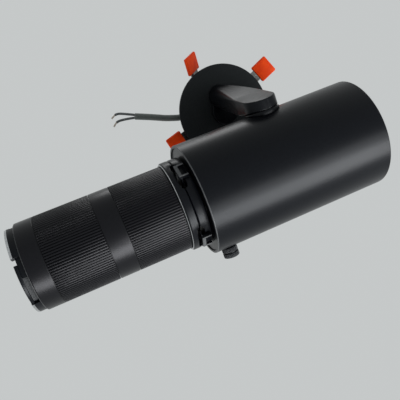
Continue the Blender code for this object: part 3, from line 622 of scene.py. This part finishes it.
def build_cable():
    ends = build_core("live_core", "core_live", LIVE_ROUTE) + build_core("neutral_core", "core_neutral", NEUTRAL_ROUTE)
    points = smooth_route(SHEATH_ROUTE, 25)
    sheath = tube("supply_sheath", points, SHEATH_RADIUS, FINISH["grey_sheath"])
    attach(sheath, BODY_OF["cord_sheath"])
    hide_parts("cord_sheath")


# Spring clips

CLIP_DROOPS = (14.0, 30.0, 14.0, 14.0)
SPRING_WIRE = 0.5 * MM
SPRING_RADIUS = 2.6 * MM
SPRING_TURNS = 3.25
SPRING_WIDTH = 6.4 * MM
SPRING_LEG = 4.6 * MM
SPRING_REACH = 10.5 * MM
LEVER_SHEET = 1.0 * MM
GAP = 0.3 * MM


def spring_route(place, droop_angle):
    """Torsion spring: a leg down the bracket, the coil, then a leg out over the lever."""
    half = SPRING_WIDTH / 2
    route = [Vector((-SPRING_RADIUS, -half, -SPRING_LEG)), Vector((-SPRING_RADIUS, -half, -SPRING_LEG / 2))]
    steps = round(SPRING_TURNS * 24)
    for step in range(steps + 1):
        turn = math.pi - math.tau * SPRING_TURNS * step / steps
        route.append(Vector((SPRING_RADIUS * math.cos(turn), -half + SPRING_WIDTH * step / steps,
                             SPRING_RADIUS * math.sin(turn))))
    rest = LEVER_SHEET / 2 + SPRING_WIRE + GAP
    droop = Matrix.Rotation(droop_angle, 3, 'Y')
    top = route[-1].copy()
    end = droop @ Vector((SPRING_REACH, half, rest))
    route += [top.lerp(end, step / 8) for step in range(1, 9)]
    return [place @ point for point in route]


def build_clips():
    for number in range(1, 5):
        hinge = JOINTS[f"clip_{number}_fold"]
        pin = Vector(hinge["pos_m"])
        axis = Vector(hinge["axis"])
        out = Vector((-axis.y, axis.x, 0)).normalized()
        place = Matrix.Translation(pin) @ Matrix((out, -axis, axis.cross(out))).transposed().to_4x4()
        route = spring_route(place, math.radians(CLIP_DROOPS[number - 1]))
        wire = tube(f"clip_{number}_coil", route, SPRING_WIRE, FINISH["spring_steel"], 3)
        mesh = bpy.data.meshes.new_from_object(wire.evaluated_get(bpy.context.evaluated_depsgraph_get()))
        bpy.data.objects.remove(wire, do_unlink=True)
        spring = bpy.data.objects.new(f"clip_spring_{number}_fine", mesh)
        bpy.context.collection.objects.link(spring)
        mesh.shade_smooth()
        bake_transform(spring)
        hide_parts(f"clip_spring_{number}")
        stand_in(f"clip_sleeve_{number}", refined(f"clip_sleeve_{number}", 0.35 * MM, 3))
        for node in (f"clip_bracket_{number}", f"clip_lever_{number}", f"clip_pin_{number}"):
            stand_in(node, refined(node, 0.15 * MM))


# Plate, swivel and arm

PLATE_BORE = 8.4 * MM
PLATE_EDGE = 0.9 * MM
PLATE_SEAT = 7.0 * MM
PLATE_RELIEF = 0.4 * MM
CUP_WALL = 1.5 * MM
SPINDLE_RADIUS = 8.0 * MM
PLATE_UNDERSIDE = -2.4 * MM
RUN = 0.4 * MM

GLAND_FLANGE = 2.4 * MM
GLAND_FLANGE_RADIUS = 4.4 * MM
GLAND_LENGTH = 9.0 * MM
GLAND_RIBS = 4

TILT_AXIS = Vector(JOINTS["tilt"]["pos_m"])
ARM_ROOT_RADIUS = 10.4 * MM
ARM_ROOT_OUT = 14.0 * MM
ARM_KNEE = 17.0 * MM
ARM_KNEE_OUTER = 9.4 * MM
ARM_BOW = 0.8 * MM
BOSS_RADIUS = 13.0 * MM
BOSS_INNER = 4.0 * MM
BOSS_OUTER = 6.2 * MM
BOSS_EDGE = 1.2 * MM


def build_ceiling():
    low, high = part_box("trim_plate")
    seat = high.x - PLATE_SEAT
    stand_in("trim_plate", lathe(fillet([
        (low.z, PLATE_BORE, 0), (low.z, high.x, PLATE_EDGE), (high.z, high.x, GAP), (high.z, seat, GAP / 2),
        (high.z - PLATE_RELIEF, seat, 0), (high.z - PLATE_RELIEF, PLATE_BORE, 0)], 6), ALONG_PLATE))
    low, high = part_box("recess_cup")
    inner = high.x - CUP_WALL
    stand_in("recess_cup", lathe(fillet([
        (high.z - CUP_WALL, 0, 0), (high.z - CUP_WALL, inner, 0), (low.z, inner, 0), (low.z, high.x, 0),
        (high.z, high.x, 2 * CUP_WALL), (high.z, 0, 0)], 6), ALONG_PLATE))
    low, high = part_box("swivel_hub")
    under = PLATE_UNDERSIDE - GAP
    stand_in("swivel_hub", lathe(fillet([
        (high.z, 0, 0), (high.z, SPINDLE_RADIUS, GAP), (under, SPINDLE_RADIUS, 0), (under, high.x, 0),
        (low.z, high.x, 2 * GAP), (low.z, 0, 0)]), ALONG_PLATE))
    build_gland()
    build_arm()
    stand_in("tilt_saddle", refined("tilt_saddle", 0.15 * MM))


def build_gland():
    """Moulded strain relief with shallow ribs round its tapered nose."""
    leave = SHEATH_ROUTE[0]
    turn = math.atan2(leave.y, leave.x)
    place = Matrix.Translation((0, 0, leave.z)) @ Matrix.Rotation(turn, 4, 'Z')
    nose = leave.xy.length - GAP
    start = nose - GLAND_LENGTH
    outline = [(start, 0, 0), (start, GLAND_FLANGE_RADIUS, GAP), (start + GLAND_FLANGE, GLAND_FLANGE_RADIUS, GAP)]
    pitch = (GLAND_LENGTH - GLAND_FLANGE) / GLAND_RIBS
    for rib in range(GLAND_RIBS):
        crest = SHEATH_RADIUS + 0.9 * MM * (1 - 0.45 * rib / GLAND_RIBS)
        along = start + GLAND_FLANGE + pitch * rib
        outline += [(along + 0.25 * pitch, SHEATH_RADIUS + GAP, 0.1 * MM), (along + 0.35 * pitch, crest, 0.1 * MM),
                    (along + 0.95 * pitch, crest, 0.1 * MM)]
    outline += [(nose, SHEATH_RADIUS + GAP, 0.1 * MM), (nose, 0, 0)]
    stand_in("cable_gland", lathe(fillet(outline, 3), place, MEDIUM))


def arm_section(half, low, high, corner, height, steps=10):
    """Ring of points on a rounded rectangle across the arm at one height."""
    corner = min(corner, half, (high - low) / 2)
    ring = []
    for quarter in range(4):
        along = half - corner if quarter in (0, 3) else corner - half
        out = high - corner if quarter in (0, 1) else low + corner
        for step in range(steps + 1):
            turn = math.pi / 2 * (quarter + step / steps)
            ring.append(Vector((along + corner * math.cos(turn), out + corner * math.sin(turn), height)))
    return ring


def mix(start, end, share):
    return start + (end - start) * share


def build_arm():
    """Round root beside the pan axis that flattens into the boss on the tilt axis."""
    root = PLATE_UNDERSIDE - RUN
    knee = TILT_AXIS.z + ARM_KNEE
    sections = []
    steps = 28
    for step in range(steps):
        share = step / steps
        sections.append(arm_section(
            mix(ARM_ROOT_RADIUS, BOSS_RADIUS, share), mix(ARM_ROOT_OUT - ARM_ROOT_RADIUS, -BOSS_INNER, share),
            mix(ARM_ROOT_OUT + ARM_ROOT_RADIUS, ARM_KNEE_OUTER, share) + 4 * ARM_BOW * share * (1 - share),
            mix(ARM_ROOT_RADIUS, BOSS_EDGE, share), mix(root, knee, share)))
    slope = (ARM_KNEE_OUTER - BOSS_OUTER) / ARM_KNEE
    for step in range(6):
        drop = ARM_KNEE * (1 - step / 6)
        sections.append(arm_section(BOSS_RADIUS, -BOSS_INNER, BOSS_OUTER + slope * drop, BOSS_EDGE,
                                    TILT_AXIS.z + drop))
    for degrees in range(0, 88, 4):
        turn = math.radians(degrees)
        drop = BOSS_RADIUS * math.sin(turn)
        sections.append(arm_section(BOSS_RADIUS * math.cos(turn), -BOSS_INNER, BOSS_OUTER - slope * drop, BOSS_EDGE,
                                    TILT_AXIS.z - drop))
    arm = stand_in("swing_arm", loft(sections))
    low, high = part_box("swivel_hub")
    carve(arm, [lathe(disc_outline(low.z - GAP, 0, high.x + GAP, 0), ALONG_PLATE, MEDIUM)])


# Head

BODY_WALL = 2.0 * MM
BODY_EDGE = 0.7 * MM
APERTURE_RADIUS = 24.0 * MM
COVER_SCREWS = 3
SCREW_CIRCLE = 31.0 * MM
SCREW_RADIUS = 2.9 * MM
SCREW_HEIGHT = 0.7 * MM
SOCKET_RADIUS = 1.45 * MM

COLLAR_CHAMFER = 1.2 * MM
SILVER_LIFT = 0.05 * MM
SILVER_DEPTH = 0.3 * MM
SILVER_SHARE = 0.3
TAB_HEIGHT = 3.2 * MM

RIBS = 108
RIB_DEPTH = 0.7 * MM
RIB_GROOVE = 0.45
RIB_SAMPLES = 10
RIB_CROWN = 0.2 * MM
GRIP_EDGE = 0.35 * MM
LIP_DEPTH = 0.4 * MM
LIP_REACH = 0.3 * MM
TUBE_WALL = 1.8 * MM

FRONT_ROUND = 0.9 * MM
BAYONET_ROUND = 1.2 * MM
BAYONET_LIP = 0.8 * MM
JOINT_LINE = 0.3 * MM
LUG_RIM = 1.7 * MM
FLANGE = 2.4 * MM
FLANGE_DROP = 0.8 * MM
FLANGE_ENTRY = math.radians(9.0)
NOTCHES = 3
NOTCH_DEPTH = 2.2 * MM
NOTCH_SPAN = math.radians(67.0)
NOTCH_MIDDLE = math.radians(265.5)
THREAD_PITCH = 0.75 * MM
THREAD_DEPTH = 0.35 * MM
THREAD_MARGIN = math.radians(2.5)
THREAD_REACH = math.radians(40.0)

THUMB_KNURLS = 40
KNURL_DEPTH = 0.28 * MM
THUMB_DISC = 3.6 * MM
THUMB_GROOVE = 0.9 * MM


def span(node):
    """Start, end and outer radius of a node turned about the beam."""
    low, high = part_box(node)
    return low.x, high.x, high.z - BEAM.z


def build_body():
    start, end, radius = span("body_tube")
    bore = radius - BODY_WALL
    shape = lathe(fillet([(start, bore, GAP), (start, radius, BODY_EDGE), (end, radius, BODY_EDGE), (end, bore, GAP)]))
    # Outer faces of the front fillet take the lighter rubbed-edge finish: a painted highlight along the body's front
    # rim.
    for face in shape.faces:
        middle = face.calc_center_median() - BEAM
        rubbed = middle.x > end - BODY_EDGE and middle.yz.length > radius - BODY_EDGE
        face.material_index = 1 if rubbed else 0
    stand_in("body_tube", shape).data.materials.append(FINISH["rubbed_edge"])
    start, end, radius = span("rear_cover")
    stand_in("rear_cover", lathe(disc_outline(start, end, radius, BODY_EDGE)), "matt_black")
    for number in range(COVER_SCREWS):
        turn = math.radians(90) + math.tau * number / COVER_SCREWS
        build_screw(f"cover_screw_{number + 1}", start, turn)
    start, end, radius = span("front_bulkhead")
    stand_in("front_bulkhead", lathe(ring_outline(start, end, APERTURE_RADIUS, radius, GAP)))


def build_screw(name, face, turn):
    """Low socket screw whose head stands on the rear cover."""
    place = ALONG_BEAM @ Matrix.Translation((face, SCREW_CIRCLE * math.cos(turn), SCREW_CIRCLE * math.sin(turn)))
    head = piece(name, lathe(disc_outline(-SCREW_HEIGHT, SCREW_HEIGHT, SCREW_RADIUS, GAP), place, 48), "head",
                 FINISH["rubbed_edge"])
    carve(head, [lathe(disc_outline(-2 * SCREW_HEIGHT, 0, SOCKET_RADIUS, 0), place, 6)])


def build_gate():
    for node in ("rear_collar", "front_collar"):
        stand_in(node, refined(node, 0.2 * MM))
    start, end, radius = span("front_collar")
    outward = Vector((1, 1)).normalized()
    near = Vector((end - COLLAR_CHAMFER * SILVER_SHARE, radius - COLLAR_CHAMFER * (1 - SILVER_SHARE)))
    far = Vector((end, radius - COLLAR_CHAMFER))
    silver = [near + outward * SILVER_LIFT, far + outward * SILVER_LIFT, far - Vector((0, SILVER_DEPTH)),
              near - outward * SILVER_DEPTH]
    piece("collar_silver_line", lathe(silver), "head", FINISH["bright_edge"])
    rim = radius + GAP + TAB_HEIGHT - GAP / 2
    for number in range(1, 5):
        node = f"shutter_blade_{number}"
        shape = refined(node, 0.2 * MM)
        # Faces on each tab's outer rim take the lighter rubbed-edge finish: a painted highlight along the rims.
        for face in shape.faces:
            reach = (face.calc_center_median() - BEAM).yz.length
            face.material_index = 1 if reach > rim else 0
        stand_in(node, shape).data.materials.append(FINISH["rubbed_edge"])


def rib_wave(outer):
    """Radius of a grip ring's point: V grooves between softly crowned ribs."""
    def wave(turn, point):
        if point[1] < outer - 2 * RIB_DEPTH:
            return point[1]
        phase = (turn * RIBS / math.tau) % 1.0
        from_groove = min(phase, 1 - phase) / (RIB_GROOVE / 2)
        if from_groove < 1:
            return point[1] - RIB_DEPTH * (1 - from_groove)
        crown = (phase - 0.5) / (0.5 - RIB_GROOVE / 2)
        return point[1] - RIB_CROWN * crown ** 2
    return wave


def build_barrel():
    tube_start, tube_end, tube_radius = span("lens_tube")
    for node in ("zoom_ring", "focus_ring"):
        start, end, radius = span(node)
        inner = tube_radius + RUN
        outline = fillet([(start, inner, 0), (start, radius, GRIP_EDGE), (end, radius, GRIP_EDGE), (end, inner, 0)], 2)
        stand_in(node, lathe(outline, segments=RIBS * RIB_SAMPLES, wave=rib_wave(radius)))
    inner = tube_radius + GAP
    start, end, radius = span("middle_band")
    lip = radius - LIP_DEPTH
    stand_in("middle_band", lathe(fillet([
        (start - LIP_REACH, inner, 0), (start - LIP_REACH, lip, 0), (start, lip, 0), (start, radius, GRIP_EDGE),
        (end, radius, GRIP_EDGE), (end, lip, 0), (end + LIP_REACH, lip, 0), (end + LIP_REACH, inner, 0)])))
    start, end, radius = span("front_ring")
    stand_in("front_ring", lathe(fillet([
        (start - LIP_REACH, inner, 0), (start - LIP_REACH, lip, 0), (start, lip, 0), (start, radius, GRIP_EDGE),
        (end, radius, FRONT_ROUND), (end, inner, 0)], 8)))
    bore = tube_radius - TUBE_WALL
    stand_in("lens_tube", lathe(ring_outline(tube_start, tube_end, bore, tube_radius, GAP)))
    build_bayonet(bore - BAYONET_LIP)
    build_thumbscrew()


def sector(outline, first, last, steps):
    """Turn an outline round the beam through part of a circle and close both ends."""
    shape = bmesh.new()
    rings = []
    for step in range(steps + 1):
        turn = first + (last - first) * step / steps
        rings.append([shape.verts.new(ALONG_BEAM @ Vector((along, radius * math.cos(turn), radius * math.sin(turn))))
                      for along, radius in outline])
    skin(shape, rings)
    return shape


def build_bayonet(bore):
    """Accessory ring: rubbed lugs, and between them threaded notches behind a low flange."""
    start, end, radius = span("bayonet_ring")
    ring = stand_in("bayonet_ring", lathe(fillet([(start, bore, 0), (start, radius, GAP), (end, radius, BAYONET_ROUND),
                                                  (end, bore, GAP)], 6)))
    # A thin lighter ring at the joint behind the bayonet ring: a painted highlight line.
    joint = ring_outline(start - GAP, start, radius - NOTCH_DEPTH, radius + JOINT_LINE, 0)
    piece("bayonet_joint_highlight", lathe(joint), "head", FINISH["rubbed_edge"])
    floor = radius - NOTCH_DEPTH
    beyond = radius + NOTCH_DEPTH
    rim = fillet([(end, radius - LUG_RIM, 0), (end - LUG_RIM, radius - LUG_RIM, 0), (end - LUG_RIM, radius, 0),
                  (end, radius, BAYONET_ROUND)], 6)
    rim = [point + Vector((SILVER_LIFT, SILVER_LIFT)) for point in rim]
    turns = int((end - start - FLANGE) / THREAD_PITCH)
    last_turn = start + THREAD_PITCH * turns
    thread = [(last_turn, floor - GAP), (start + GAP, floor - GAP)]
    for crest in range(turns):
        along = start + GAP + THREAD_PITCH * crest
        thread += [(along, floor), (along + THREAD_PITCH / 2, floor + THREAD_DEPTH)]
    thread.append((last_turn, floor))
    flange = ring_outline(end - FLANGE, end - GAP, floor - GAP, radius - FLANGE_DROP, GAP)
    cut = [(start - GAP, floor), (start - GAP, beyond), (end + GAP, beyond), (end + GAP, floor)]
    entry = [(end - FLANGE, bore - GAP), (end - FLANGE, beyond), (end + GAP, beyond), (end + GAP, bore - GAP)]
    for number in range(1, NOTCHES + 1):
        middle = NOTCH_MIDDLE + math.tau * number / NOTCHES
        first = middle - NOTCH_SPAN / 2
        last = middle + NOTCH_SPAN / 2
        following = first + math.tau / NOTCHES
        carve(ring, [sector(cut, first, last, 36)])
        carve(ring, [sector(entry, last - FLANGE_ENTRY, last, 36)])
        piece(f"bayonet_thread_{number}", sector(thread, first + THREAD_MARGIN, first + THREAD_REACH, 36), "head",
              FINISH["rubbed_edge"])
        piece(f"bayonet_flange_{number}", sector(flange, first - THREAD_MARGIN, last - FLANGE_ENTRY, 36), "head",
              FINISH["satin_black"])
        piece(f"bayonet_lug_rim_{number}", sector(rim, last, following, 36), "head",
              FINISH["bright_edge"])


def build_thumbscrew():
    """Knurled double disc on a short neck."""
    low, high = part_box("thumbscrew")
    middle = (low + high) / 2
    radius = (high.x - low.x) / 2
    place = Matrix.Translation((middle.x, 0, middle.z)) @ Matrix.Rotation(-math.pi / 2, 4, 'Z')
    end = -low.y
    groove = end - THUMB_DISC - THUMB_GROOVE
    base = groove - THUMB_DISC
    floor = radius - THUMB_GROOVE
    neck = -body_low.y + GAP
    outline = fillet([
        (-high.y, 0, 0), (-high.y, 0.25 * radius, 0), (neck, 0.25 * radius, 0), (neck, radius / 2, 0),
        (base, radius / 2, 0), (base, radius, 0.5 * MM), (groove, radius, GAP), (groove, floor, 0),
        (groove + THUMB_GROOVE, floor, 0), (groove + THUMB_GROOVE, radius, GAP), (end, radius, 0.5 * MM), (end, 0, 0)])

    def knurl(turn, point):
        if point[1] < floor + GAP:
            return point[1]
        return point[1] - KNURL_DEPTH * abs(math.sin(turn * THUMB_KNURLS / 2)) ** 0.5
    stand_in("thumbscrew", lathe(outline, place, THUMB_KNURLS * 8, knurl))


def dress_rest():
    """Give every CAD node that still shows its own procedural finish."""
    for node, shown in frame["nodes"].items():
        if shown.hide_render:
            continue
        shown.data.materials.clear()
        shown.data.materials.append(FINISH[SLOT_OF[node]])


clear_start()
bpy.context.scene.view_settings.view_transform = 'Standard'
FINISH = build_finishes()
build_camera()
build_world()
build_lights()
build_floor()
build_cable()
build_clips()
build_ceiling()
build_body()
build_gate()
build_barrel()
dress_rest()
